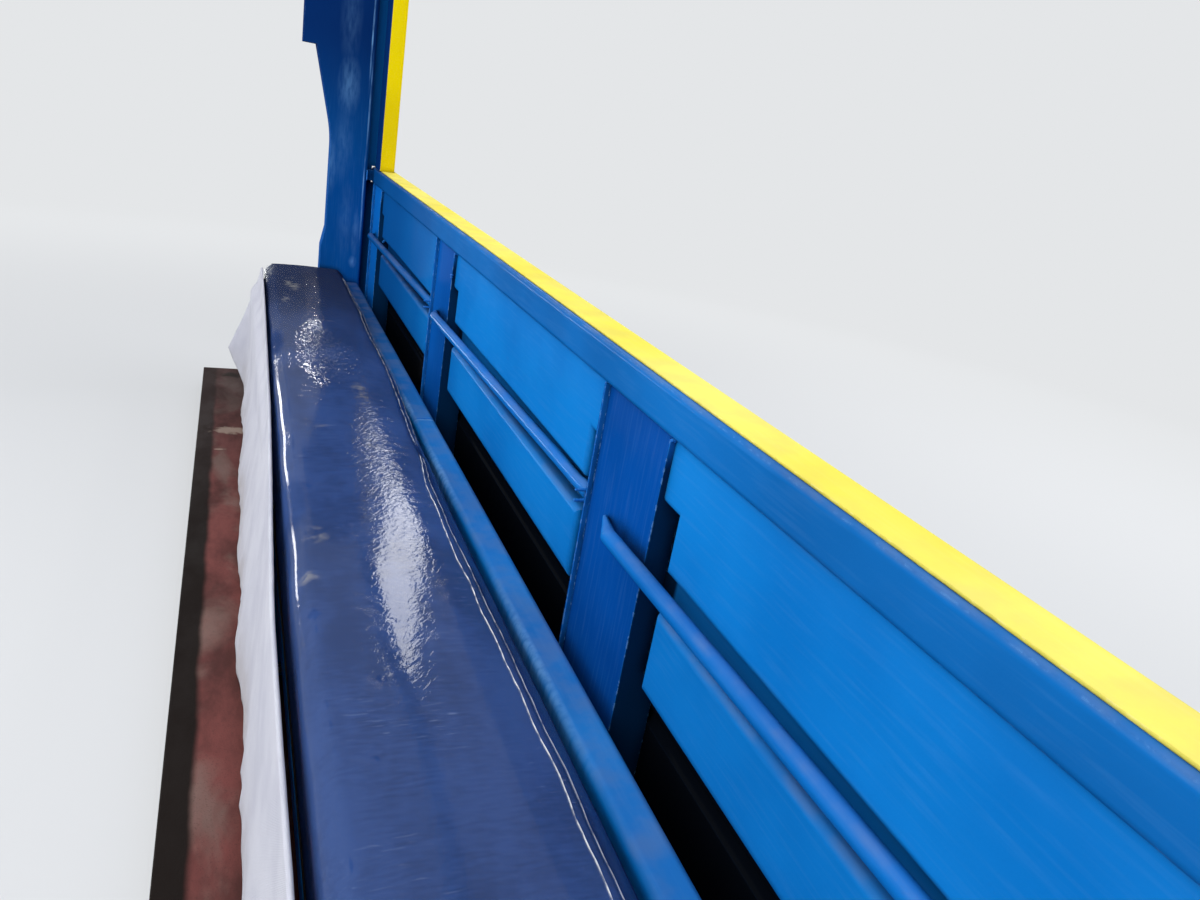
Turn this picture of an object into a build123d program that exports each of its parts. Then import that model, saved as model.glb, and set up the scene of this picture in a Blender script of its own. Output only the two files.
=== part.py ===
from build123d import *
import os

# Passenger bench and side wall of a jeepney, right-hand side of the vehicle.
# X runs outboard, Y runs forward to the cab, Z runs up, all in millimetres.
# The origin is the centre of the underside of the whole piece.

os.makedirs("parts", exist_ok=True)

# Lengths along Y
bay_count = 3
bay_clear = 695.0            # clear length of one lining panel's bay
post_width = 153.0
front_pillar_length = 50.0
rear_pillar_length = 50.0
jamb_length = 77.0

# Widths along X
floor_reach = 406.0          # floor's aisle edge to the inboard plane of the wall
wall_depth = 42.0            # inboard plane of the wall to the outside of the skin
cap_overhang = 8.0           # sill cap's rolled edge beyond the skin
cap_inset = 7.0              # inboard plane of the wall to the cap's inboard edge
front_pillar_width = 97.0
pillar_gap = 17.0            # front pillar to the inboard plane of the wall
flare_reach = 47.0           # how far the pillar leans inboard up to the header
header_stub = 32.0           # pillar's head, inboard of that
foot_reach = 10.0            # pillar's foot, inboard of its shaft
rear_pillar_width = 80.0
jamb_setback = 1.5           # window jamb behind the inboard plane of the wall

# Heights along Z
bearer_height = 50.0
sill_height = 593.0          # floor to the top of the window sill
sill_depth = 41.0
cap_drop = 26.0              # sill cap's leg down the outside
window_height = 520.0
roof_rail_depth = 42.0
flare_start = 70.0           # sill to the level where the front pillar begins to lean
header_height = 273.0        # sill to the underside of the header
foot_height = 373.0          # floor to the top of the pillar's wide foot
foot_taper = 50.0

# Sheet and tube walls
floor_sheet = 3.0
skin_sheet = 2.0
lining_sheet = 2.0
post_sheet = 2.5
pillar_sheet = 2.0
cap_sheet = 2.0
tube_wall = 2.0
bearer_wall = 3.0

# Posts: a pressed channel whose web lies behind two lips
lip_height = 6.0
lip_radius = 1.0
post_flange = 18.0

# Lining panels: fields pressed forward of a deep groove
field_setback = 6.0          # field behind the inboard plane of the wall
groove_depth = 20.0
groove_width = 27.0          # upright grooves beside the posts
top_band = 60.0              # plain band under the sill
groove_top_drop = 114.0      # sill's underside to the level groove behind the rail
groove_height = 40.0
lining_drop = 240.0          # sill's underside to the lining's lower edge
press_radius = 7.0
roll_radius = 15.0           # lower edge of the lining, rolled back to the wall

# Back rails: a round bar from one post's web to the next post's side
rail_diameter = 16.0
rail_drop = 124.0            # sill's underside to the rail's centre
rail_tip_reach = 102.0       # rear edge of a post to the rail's tip
rail_tip_length = 42.0
rail_tip_radius = 2.5

# Bench
ledge_gap = 19.5             # inboard plane of the wall to the ledge behind the cushion
cushion_width = 231.0
cushion_edge = 71.0          # cushion's thickness along its edges
cushion_crown = 10.0
cushion_corner = 20.0
board_thickness = 12.0
board_inset = 3.0
frame_tube = 30.0
leg_tube = 25.0
leg_station_count = 5
leg_end_distance = 60.0
foot_plate = 60.0
foot_plate_thickness = 4.0
ledge_width = 38.0
ledge_depth = 38.0
ledge_rise = 7.0             # board's top to the ledge tube's underside
ledge_joint = 1080.0         # bench's front end to the joint in the ledge
ledge_radius = 9.0
bench_height = 238.0         # floor to the top of the seat board
cloth_thickness = 4.0
cloth_hem = 12.0             # floor to the cloth's hem
cloth_top_drop = 22.0        # cushion's upper edge to the cloth's upper edge
cloth_swing = 16.0           # how far the hem hangs out towards the aisle

# Bearers under the floor
bearer_flange = 40.0
bearer_bolt = 13.0
bearer_bolt_spacing = 300.0
floor_flange = 25.0
skin_hem = 8.0               # underside of the bearers to the skin's lower edge
bead_radius = 12.0
bead_sink = 6.0              # skin's inner face to the centre of a bead's arc
bead_drops = (70.0, 330.0)   # sill's top to each pressed bead on the skin

# Fits
seam = 0.3                   # clearance between pieces that are seated side by side
soft_gap = 0.5               # clearance round the soft pieces
edge_radius = 2.0
tube_radius = 4.0
sill_radius = 6.0
flare_radius = 300.0
header_radius = 18.0
pillar_fold = 8.0            # pillar's rounded edge beside the window
spacer_size = 26.0
closer_flange = 10.0

# Places worked out from the sizes
pitch = bay_clear + post_width
wall_length = bay_count * pitch + post_width
overall_length = wall_length + front_pillar_length + rear_pillar_length
y_rear = -overall_length / 2
y_front = overall_length / 2
wall_rear = y_rear + rear_pillar_length
wall_front = y_front - front_pillar_length

x_aisle = -(floor_reach + wall_depth + cap_overhang) / 2
x_wall = x_aisle + floor_reach
x_outside = x_wall + wall_depth
x_skin = x_outside - skin_sheet
post_depth = x_skin - x_wall
x_ledge = x_wall - ledge_gap - ledge_width
x_cushion = x_ledge - soft_gap - cushion_width

z_floor = bearer_height + floor_sheet
z_sill = z_floor + sill_height
z_cap = z_sill - cap_sheet
z_sill_under = z_sill - sill_depth
z_roof = z_sill + window_height
z_top = z_roof + roof_rail_depth
z_board = z_floor + bench_height
z_cushion_edge = z_board + cushion_edge
z_ledge = z_board + ledge_rise
z_rail = z_sill_under - rail_drop

post_ys = [wall_front - post_width / 2 - i * pitch for i in range(bay_count + 1)]
bay_ys = [(post_ys[i] + post_ys[i + 1]) / 2 for i in range(bay_count)]
leg_span = wall_length - 2 * leg_end_distance
leg_pitch = leg_span / (leg_station_count - 1)
leg_ys = [wall_front - leg_end_distance - i * leg_pitch for i in range(leg_station_count)]


def finish(piece, name):
    """Name a finished piece and write it to its own file."""
    piece.part.label = name
    export_step(piece.part, f"parts/{name}.step")
    print(name, "volume", round(piece.part.volume), "solids", len(piece.part.solids()))


def tube_section(width, height, radius, wall):
    """Draw the section of a drawn tube, round outside and plain inside."""
    RectangleRounded(width, height, radius)
    Rectangle(width - 2 * wall, height - 2 * wall, mode=Mode.SUBTRACT)


# Floor plate with its aisle edge folded down
with BuildPart() as floor_plate:
    with BuildSketch(Plane.XZ.offset(-y_front)):
        with Locations((x_aisle, z_floor)):
            Rectangle(x_skin - x_aisle, floor_sheet, align=(Align.MIN, Align.MAX))
            Rectangle(floor_sheet, floor_flange, align=(Align.MIN, Align.MAX))
    extrude(amount=overall_length)
    fold = floor_plate.edges().filter_by(Axis.Y).group_by(Axis.Z)[-1].sort_by(Axis.X)[0]
    fillet(fold, edge_radius)
finish(floor_plate, "floor_plate")

# Side rail under the wall
with BuildPart() as side_rail:
    with BuildSketch(Plane.XZ.offset(-y_front)):
        with Locations((x_wall + post_depth / 2, bearer_height / 2)):
            tube_section(post_depth, bearer_height, tube_radius, tube_wall)
    extrude(amount=overall_length)
finish(side_rail, "side_rail")

# Cross bearers: channels under the floor, bolted down through their lower flanges
bearer_start = x_aisle + floor_sheet
bearer_length = x_wall - bearer_start
for number, y in enumerate(post_ys, start=1):
    with BuildPart() as bearer:
        with BuildSketch(Plane.YZ.offset(bearer_start)):
            with Locations((y, bearer_height / 2)):
                Rectangle(bearer_flange, bearer_height)
            with Locations((y - bearer_wall, bearer_height / 2)):
                Rectangle(bearer_flange, bearer_height - 2 * bearer_wall, mode=Mode.SUBTRACT)
        extrude(amount=bearer_length)
        with BuildSketch(Plane.XY):
            with Locations((bearer_start + bearer_length / 2, y - bearer_wall)):
                with GridLocations(bearer_bolt_spacing, 1, 2, 1):
                    Circle(bearer_bolt / 2)
        extrude(amount=bearer_wall, mode=Mode.SUBTRACT)
    finish(bearer, f"floor_bearer_{number}")

# Outer skin with two beads pressed outward
bead_reach = bead_sink + bead_radius + skin_sheet
with BuildPart() as outer_skin:
    with BuildSketch(Plane.XZ.offset(-y_front)):
        with Locations((x_skin, skin_hem)):
            Rectangle(skin_sheet, z_cap - skin_hem, align=(Align.MIN, Align.MIN))
        for drop in bead_drops:
            with Locations((x_skin - bead_sink, z_sill - drop)):
                Circle(bead_radius + skin_sheet)
        for drop in bead_drops:
            with Locations((x_skin - bead_sink, z_sill - drop)):
                Circle(bead_radius, mode=Mode.SUBTRACT)
        with Locations((x_skin, skin_hem)):
            Rectangle(bead_reach, z_cap, align=(Align.MAX, Align.MIN), mode=Mode.SUBTRACT)
    extrude(amount=overall_length)
finish(outer_skin, "outer_skin")

# Posts: pressed channels with the web set back behind the lips
for number, y in enumerate(post_ys, start=1):
    with BuildPart() as post:
        with BuildSketch(Plane.XY.offset(z_floor)):
            with Locations((x_wall, y)):
                Rectangle(post_depth, post_width, align=(Align.MIN, Align.CENTER))
                Rectangle(
                    lip_height,
                    post_width - 2 * post_sheet,
                    align=(Align.MIN, Align.CENTER),
                    mode=Mode.SUBTRACT,
                )
            with Locations((x_wall + lip_height + post_sheet, y)):
                Rectangle(
                    post_depth - lip_height - 2 * post_sheet,
                    post_width - 2 * post_sheet,
                    align=(Align.MIN, Align.CENTER),
                    mode=Mode.SUBTRACT,
                )
            with Locations((x_skin, y)):
                Rectangle(
                    post_sheet,
                    post_width - 2 * post_flange,
                    align=(Align.MAX, Align.CENTER),
                    mode=Mode.SUBTRACT,
                )
        extrude(amount=z_sill_under - z_floor)
        lips = post.edges().filter_by(Axis.Z).group_by(Axis.X)[0]
        fillet(lips, lip_radius)
    finish(post, f"post_{number}")

# Lining panels: two fields pressed inboard between deep grooves
x_field = x_wall + field_setback
x_groove = x_field + groove_depth
lining_length = bay_clear - 2 * seam
lining_bottom = z_sill_under - lining_drop
field_length = lining_length - 2 * groove_width
lower_field_depth = lining_drop - groove_top_drop - groove_height


def press_block(y, shrink):
    """Make the two raised fields of one panel, drawn in by shrink, with the lower edge rolled under."""
    wall_face = Plane(origin=(x_groove, y, z_sill_under), x_dir=(0, -1, 0), z_dir=(-1, 0, 0))
    width = field_length - 2 * shrink
    with BuildPart() as block:
        with BuildSketch(wall_face):
            Rectangle(lining_length, top_band - shrink, align=(Align.CENTER, Align.MAX))
            Rectangle(width, groove_top_drop - shrink, align=(Align.CENTER, Align.MAX))
            with Locations((0, -lining_drop + shrink)):
                Rectangle(width, lower_field_depth - 2 * shrink, align=(Align.CENTER, Align.MIN))
        extrude(amount=groove_depth - shrink)
        pressed = [
            edge
            for edge in block.faces().group_by(Axis.X)[0].edges()
            if edge.center().Z < z_sill_under - seam
            and edge.center().Z > lining_bottom + roll_radius + seam
            and abs(edge.center().Y - y) < lining_length / 2 - seam
        ]
        fillet(pressed, press_radius - shrink)
        with BuildSketch(Plane.XZ.offset(-(y + lining_length / 2))):
            with Locations((x_field + shrink, lining_bottom + shrink)):
                Rectangle(roll_radius - shrink, roll_radius - shrink, align=(Align.MIN, Align.MIN))
            with Locations((x_field + roll_radius, lining_bottom + roll_radius)):
                Circle(roll_radius - shrink, mode=Mode.SUBTRACT)
        extrude(amount=lining_length, mode=Mode.SUBTRACT)
    return block.part


for number, y in enumerate(bay_ys, start=1):
    outer_block = press_block(y, 0)
    inner_block = press_block(y, lining_sheet)
    with BuildPart() as lining:
        add(outer_block)
        with BuildSketch(Plane(origin=(x_groove, y, z_sill_under), x_dir=(0, -1, 0), z_dir=(-1, 0, 0))):
            Rectangle(lining_length, lining_drop, align=(Align.CENTER, Align.MAX))
        extrude(amount=lining_sheet)
        add(inner_block, mode=Mode.SUBTRACT)
    finish(lining, f"lining_{number}")

# Back rails: a tapered tip bent out to the forward post's web, then a straight bar that clears the
# post's rear lip and slants out to end on the next post's forward side
rail_radius = rail_diameter / 2
x_rail = x_wall - rail_radius - seam
x_rail_tip = x_wall + lip_height - rail_tip_radius - seam
x_rail_end = x_wall + rail_radius
for number in range(1, bay_count + 1):
    lip_y = post_ys[number - 1] - post_width / 2
    tip_y = lip_y + rail_tip_reach
    bend_y = tip_y - rail_tip_length
    end_y = post_ys[number] + post_width / 2 + seam
    slant = (x_rail_end - x_rail) / (lip_y - end_y)
    bend = Vector(x_rail - slant * (bend_y - lip_y), bend_y, z_rail)
    bar_end = Vector(x_rail_end, end_y, z_rail)
    tip = Vector(x_rail_tip, tip_y, z_rail)
    with BuildPart() as back_rail:
        with BuildSketch(Plane(origin=bend, x_dir=(0, 0, 1), z_dir=bar_end - bend)):
            Circle(rail_radius)
        extrude(amount=(bar_end - bend).length + rail_radius)
        split(bisect_by=Plane.XZ.offset(-end_y), keep=Keep.BOTTOM)
        with Locations(bend):
            Sphere(rail_radius)
        with Locations(Plane(origin=bend, x_dir=(0, 0, 1), z_dir=tip - bend).location):
            Cone(
                rail_radius,
                rail_tip_radius,
                (tip - bend).length,
                align=(Align.CENTER, Align.CENTER, Align.MIN),
            )
    finish(back_rail, f"back_rail_{number}")

# Window sill: a box tube with a round inboard edge
tube_height = z_cap - z_sill_under
with BuildPart() as sill_tube:
    with BuildSketch(Plane.XZ.offset(-y_front)):
        with Locations((x_wall + post_depth / 2, z_sill_under + tube_height / 2)):
            tube_section(post_depth, tube_height, sill_radius, tube_wall)
    extrude(amount=wall_length + front_pillar_length)
finish(sill_tube, "sill_tube")

# Sill cap: a folded strip with a rolled outer edge
bead = (cap_overhang + cap_sheet) / 2
with BuildPart() as sill_cap:
    with BuildSketch(Plane.XZ.offset(-y_front)):
        with Locations((x_outside + cap_overhang - bead, z_sill - bead)):
            Circle(bead)
        with Locations((x_outside, z_sill)):
            Rectangle(2 * bead, 2 * bead, align=(Align.MAX, Align.MAX), mode=Mode.SUBTRACT)
            Rectangle(cap_sheet, cap_drop, align=(Align.MIN, Align.MAX))
        with Locations((x_wall + cap_inset, z_sill)):
            Rectangle(wall_depth - cap_inset + cap_sheet, cap_sheet, align=(Align.MIN, Align.MAX))
    extrude(amount=wall_length + front_pillar_length)
finish(sill_cap, "sill_cap")

# Roof side rail
with BuildPart() as roof_rail:
    with BuildSketch(Plane.XZ.offset(-y_front)):
        with Locations((x_wall + wall_depth / 2, z_roof + roof_rail_depth / 2)):
            tube_section(wall_depth, roof_rail_depth, tube_radius, tube_wall)
    extrude(amount=wall_length + front_pillar_length)
finish(roof_rail, "roof_rail")

# Window jambs: box tubes at both ends of the window
jamb_rows = (("front_jamb", wall_front - jamb_length / 2), ("rear_jamb", wall_rear + jamb_length / 2))
jamb_width = x_skin - x_wall - jamb_setback
for name, y in jamb_rows:
    with BuildPart() as jamb:
        with BuildSketch(Plane.XY.offset(z_sill)):
            with Locations((x_wall + jamb_setback + jamb_width / 2, y)):
                tube_section(jamb_width, jamb_length, tube_radius, tube_wall)
        extrude(amount=window_height)
    finish(jamb, name)

# Front pillar: a sheet pan open to the cab, widening to the header and at its foot
x_pillar_out = x_wall - pillar_gap
x_pillar_in = x_pillar_out - front_pillar_width
x_flare = x_pillar_in - flare_reach
x_header = x_flare - header_stub
z_flare = z_sill + flare_start
z_header = z_sill + header_height
with BuildPart() as front_pillar:
    with BuildSketch(Plane.XZ.offset(-wall_front)) as pillar_face:
        with BuildLine():
            Polyline(
                (x_header, z_top),
                (x_pillar_out, z_top),
                (x_pillar_out, z_floor),
                (x_pillar_in - foot_reach, z_floor),
                (x_pillar_in - foot_reach, z_floor + foot_height),
                (x_pillar_in, z_floor + foot_height + foot_taper),
                (x_pillar_in, z_flare),
                (x_flare, z_header),
                (x_header, z_header),
                (x_header, z_top),
            )
        make_face()
        corners = pillar_face.vertices()
        fillet(corners.sort_by_distance((x_pillar_in, z_flare))[0], flare_radius)
        fillet(corners.sort_by_distance((x_flare, z_header))[0], header_radius)
    extrude(amount=-front_pillar_length)
    window_edge = front_pillar.edges().filter_by(Axis.Z).group_by(Axis.X)[-1].sort_by(Axis.Y)[0]
    fillet(window_edge, pillar_fold)
    cab_side = front_pillar.faces().sort_by(Axis.Y)[-1]
    offset(amount=-pillar_sheet, openings=cab_side)
finish(front_pillar, "front_pillar")

# Spacers that hold the front pillar off the sill and the roof rail
with BuildPart() as pillar_spacers:
    with BuildSketch(Plane.YZ.offset(x_pillar_out)):
        for z in (z_sill_under + tube_height / 2, z_roof + roof_rail_depth / 2):
            with Locations((wall_front + front_pillar_length / 2, z)):
                Rectangle(spacer_size, spacer_size)
    extrude(amount=pillar_gap)
finish(pillar_spacers, "pillar_spacers")

# Closer: a folded sheet that shuts the gap between the front pillar and the skin on the cab side
closer_width = x_skin - x_pillar_out - 2 * seam
with BuildPart() as pillar_closer:
    with BuildSketch(Plane.XZ.offset(-y_front)):
        with Locations((x_pillar_out + seam, z_floor)):
            Rectangle(pillar_gap - 2 * seam, z_top - z_floor, align=(Align.MIN, Align.MIN))
            Rectangle(closer_width, z_sill_under - z_floor - seam, align=(Align.MIN, Align.MIN))
        with Locations((x_pillar_out + seam, z_sill + seam)):
            Rectangle(closer_width, window_height - 2 * seam, align=(Align.MIN, Align.MIN))
    extrude(amount=pillar_sheet)
    with BuildSketch(Plane.XY.offset(z_floor)):
        with Locations((x_pillar_out + seam, y_front)):
            Rectangle(pillar_sheet, closer_flange, align=(Align.MIN, Align.MAX))
    extrude(amount=z_top - z_floor)
finish(pillar_closer, "pillar_closer")

# Rear pillar: a box tube beside the entrance
with BuildPart() as rear_pillar:
    with BuildSketch(Plane.XY.offset(z_floor)):
        with Locations((x_skin - rear_pillar_width / 2, wall_rear - rear_pillar_length / 2)):
            tube_section(rear_pillar_width, rear_pillar_length, sill_radius, tube_wall)
    extrude(amount=z_top - z_floor)
finish(rear_pillar, "rear_pillar")

# Bench legs, each on a foot plate
x_front_leg = x_cushion + board_inset + leg_tube / 2 + edge_radius
x_rear_leg = x_ledge + ledge_width / 2
leg_rows = (
    ("front_legs", x_front_leg, z_board - board_thickness - frame_tube),
    ("rear_legs", x_rear_leg, z_ledge),
)
for name, x, leg_top in leg_rows:
    with BuildPart() as legs:
        for y in leg_ys:
            with BuildSketch(Plane.XY.offset(z_floor)):
                with Locations((x, y)):
                    Rectangle(foot_plate, foot_plate)
            extrude(amount=foot_plate_thickness)
            with BuildSketch(Plane.XY.offset(z_floor + foot_plate_thickness)):
                with Locations((x, y)):
                    tube_section(leg_tube, leg_tube, tube_radius, tube_wall)
            extrude(amount=leg_top - z_floor - foot_plate_thickness)
    finish(legs, name)

# Bench frame: the aisle rail and a cross bar at each pair of legs
z_frame = z_board - board_thickness - frame_tube / 2
with BuildPart() as aisle_rail:
    with BuildSketch(Plane.XZ.offset(-wall_front)):
        with Locations((x_front_leg, z_frame)):
            tube_section(frame_tube, frame_tube, tube_radius, tube_wall)
    extrude(amount=wall_length)
finish(aisle_rail, "aisle_rail")

bar_start = x_front_leg + frame_tube / 2
bar_end = x_rear_leg - leg_tube / 2
with BuildPart() as cross_bars:
    with BuildSketch(Plane.YZ.offset(bar_start)):
        for y in leg_ys:
            with Locations((y, z_frame)):
                tube_section(leg_tube, frame_tube, tube_radius, tube_wall)
    extrude(amount=bar_end - bar_start)
finish(cross_bars, "cross_bars")

# Ledge behind the cushion: a round-edged tube in two lengths that meet at a joint
ledge_break = wall_front - ledge_joint
ledge_rows = (
    ("ledge_front", wall_front, ledge_break + seam),
    ("ledge_rear", ledge_break - seam, wall_rear),
)
for name, start, end in ledge_rows:
    with BuildPart() as ledge:
        with BuildSketch(Plane.XZ.offset(-start)):
            with Locations((x_ledge + ledge_width / 2, z_ledge + ledge_depth / 2)):
                RectangleRounded(ledge_width, ledge_depth, ledge_radius)
                RectangleRounded(
                    ledge_width - 2 * tube_wall,
                    ledge_depth - 2 * tube_wall,
                    ledge_radius - tube_wall,
                    mode=Mode.SUBTRACT,
                )
        extrude(amount=start - end)
    finish(ledge, name)

# Seat board
board_width = x_ledge - seam - x_cushion - board_inset
with BuildPart() as seat_board:
    with BuildSketch(Plane.XY.offset(z_board - board_thickness)):
        with Locations((x_cushion + board_inset + board_width / 2, (wall_front + wall_rear) / 2)):
            RectangleRounded(board_width, wall_length - 2 * seam, edge_radius)
    extrude(amount=board_thickness)
finish(seat_board, "seat_board")

# Cushion: a crowned pad
with BuildPart() as cushion:
    with BuildSketch(Plane.XZ.offset(-(wall_front - soft_gap))):
        with BuildLine():
            Line((x_cushion, z_cushion_edge), (x_cushion, z_board + soft_gap))
            Line((x_cushion, z_board + soft_gap), (x_cushion + cushion_width, z_board + soft_gap))
            Line((x_cushion + cushion_width, z_board + soft_gap), (x_cushion + cushion_width, z_cushion_edge))
            ThreePointArc(
                (x_cushion + cushion_width, z_cushion_edge),
                (x_cushion + cushion_width / 2, z_cushion_edge + cushion_crown),
                (x_cushion, z_cushion_edge),
            )
        make_face()
    extrude(amount=wall_length - 2 * soft_gap)
    crown_edges = cushion.edges().filter_by(Axis.Y).group_by(Axis.Z)[-1]
    fillet(crown_edges, cushion_corner)
finish(cushion, "cushion")

# Cloth hung over the bench's aisle side, its hem swung out
x_cloth = x_cushion - soft_gap
z_hem = z_floor + cloth_hem
z_cloth = z_cushion_edge - cloth_top_drop
with BuildPart() as skirt_cloth:
    with BuildSketch(Plane.XZ.offset(-(wall_front - soft_gap))):
        with BuildLine():
            Polyline(
                (x_cloth, z_cloth),
                (x_cloth - cloth_thickness, z_cloth),
                (x_cloth - cloth_thickness - cloth_swing, z_hem),
                (x_cloth - cloth_swing, z_hem),
                (x_cloth, z_cloth),
            )
        make_face()
    extrude(amount=wall_length - 2 * soft_gap)
finish(skirt_cloth, "skirt_cloth")
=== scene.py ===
import math

import bpy
import numpy as np
from mathutils import Euler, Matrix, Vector


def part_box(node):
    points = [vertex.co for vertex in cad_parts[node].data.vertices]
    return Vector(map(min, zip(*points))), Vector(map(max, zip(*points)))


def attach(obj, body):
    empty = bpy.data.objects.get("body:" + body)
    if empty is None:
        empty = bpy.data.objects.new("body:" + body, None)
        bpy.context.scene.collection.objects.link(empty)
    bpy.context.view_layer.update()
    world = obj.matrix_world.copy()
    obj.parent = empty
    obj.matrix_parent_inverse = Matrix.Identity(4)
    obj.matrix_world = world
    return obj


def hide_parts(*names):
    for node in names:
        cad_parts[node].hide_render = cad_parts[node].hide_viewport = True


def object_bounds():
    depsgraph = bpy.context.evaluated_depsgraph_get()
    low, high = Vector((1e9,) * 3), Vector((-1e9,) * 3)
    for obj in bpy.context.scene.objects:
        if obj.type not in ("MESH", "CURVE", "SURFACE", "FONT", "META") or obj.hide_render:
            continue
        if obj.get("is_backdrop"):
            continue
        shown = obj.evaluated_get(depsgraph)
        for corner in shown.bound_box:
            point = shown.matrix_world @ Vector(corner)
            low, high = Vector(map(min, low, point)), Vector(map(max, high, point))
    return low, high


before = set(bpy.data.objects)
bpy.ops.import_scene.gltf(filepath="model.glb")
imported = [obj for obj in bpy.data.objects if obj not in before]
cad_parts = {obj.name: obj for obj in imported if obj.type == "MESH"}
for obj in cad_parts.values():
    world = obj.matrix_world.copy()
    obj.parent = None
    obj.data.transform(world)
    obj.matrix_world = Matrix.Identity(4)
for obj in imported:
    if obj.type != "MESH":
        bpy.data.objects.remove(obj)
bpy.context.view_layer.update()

# Looks of a jeepney's passenger bench and side wall, in metres.
# X runs outboard, Y forward, Z up, as in the frame.

MM = 0.001


# Sizes and places read from the frame

cushion_low, cushion_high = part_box("cushion")
skirt_low, skirt_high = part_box("skirt_cloth")
ledge_low, ledge_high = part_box("ledge_front")
floor_low, floor_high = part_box("floor_plate")
board_low, board_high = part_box("seat_board")
sill_low, sill_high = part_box("sill_tube")
pillar_low, pillar_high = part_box("front_pillar")
lining_low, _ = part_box("lining_1")
leg_boxes = [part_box(name) for name in ("front_legs", "rear_legs")]
post_boxes = [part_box(f"post_{number}") for number in (1, 2, 3, 4)]
rail_boxes = [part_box(f"back_rail_{number}") for number in (1, 2, 3)]
wall_front = pillar_low.y
bay = post_boxes[0][0].y - post_boxes[1][0].y
post_middle = (post_boxes[0][0].y + post_boxes[0][1].y) / 2
post_half = (post_boxes[0][1].y - post_boxes[0][0].y) / 2


# Small helpers

def linear(hex_colour):
    """Turn an sRGB hex colour into the linear RGBA that the shader works in."""
    channels = [int(hex_colour[i:i + 2], 16) / 255 for i in (1, 3, 5)]
    return tuple(c / 12.92 if c <= 0.04045 else ((c + 0.055) / 1.055) ** 2.4 for c in channels) + (1.0,)


def smooth(low, high, value):
    """Rise smoothly from 0 at low to 1 at high."""
    t = np.clip((value - low) / (high - low), 0, 1)
    return t * t * (3 - 2 * t)


def uneven(seed, count, a, b, a_waves, b_waves):
    """A soft uneven field, about -1 to 1: a sum of sine waves over a and b with seeded lengths and phases."""
    random = np.random.default_rng(seed)
    total = 0
    for _ in range(count):
        a_wave = random.uniform(*a_waves)
        b_wave = random.uniform(*b_waves)
        turn = random.choice((-1, 1))
        total = total + np.sin(2 * np.pi * (a / a_wave + turn * b / b_wave) + random.uniform(0, 2 * np.pi))
    return total / math.sqrt(count / 2)


def grid_faces(rows, columns, wrap):
    """Quads of a grid of rows x columns points, joined end to end along the columns if wrap is true."""
    index = np.arange(rows * columns).reshape(rows, columns)
    if wrap:
        index = np.hstack([index, index[:, :1]])
    corners = (index[:-1, :-1], index[:-1, 1:], index[1:, 1:], index[1:, :-1])
    return np.stack(corners, axis=-1).reshape(-1, 4).tolist()


def grid_piece(points, wrap=False, closed=False):
    """Vertices and faces of a grid of points; closed adds a point in the middle of the first and last rows."""
    rows, columns, _ = points.shape
    vertices = points.reshape(-1, 3)
    faces = grid_faces(rows, columns, wrap)
    if closed:
        middle = len(vertices)
        vertices = np.vstack([vertices, points[0].mean(0), points[-1].mean(0)])
        ring = np.arange(columns)
        after = np.roll(ring, -1)
        last = (rows - 1) * columns
        faces += np.stack([after, ring, np.full(columns, middle)], axis=-1).tolist()
        faces += np.stack([last + ring, last + after, np.full(columns, middle + 1)], axis=-1).tolist()
    return vertices, faces


def outward(vertices, faces):
    """Turn a closed shape's faces outward. Its volume, the sum of each face's first corner times the cross
    products of its other corners, is then positive. In a triangle the last corner is the third one again."""
    corners = np.array([(*face[:3], face[-1]) for face in faces])
    a, b, c, d = (vertices[corners[:, i]] for i in range(4))
    volume = np.sum(a * (np.cross(b, c) + np.cross(c, d)))
    return faces if volume > 0 else [face[::-1] for face in faces]


def build(name, shapes, material):
    """Make one smooth object from several (vertices, faces) shapes, riding on the body."""
    vertices, faces, start = [], [], 0
    for shape_vertices, shape_faces in shapes:
        vertices.append(shape_vertices)
        faces += [[start + i for i in face] for face in shape_faces]
        start += len(shape_vertices)
    mesh = bpy.data.meshes.new(name)
    mesh.from_pydata(np.vstack(vertices).tolist(), [], faces)
    mesh.polygons.foreach_set("use_smooth", np.ones(len(faces), bool))
    mesh.update()
    piece = bpy.data.objects.new(name, mesh)
    bpy.context.scene.collection.objects.link(piece)
    mesh.materials.append(material)
    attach(piece, "root")
    return piece


def point_values(piece, name, values):
    """Store one number for each vertex, for the material to read."""
    attribute = piece.data.attributes.new(name, "FLOAT", "POINT")
    attribute.data.foreach_set("value", np.asarray(values, np.float32).ravel())


# Material tools

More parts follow.
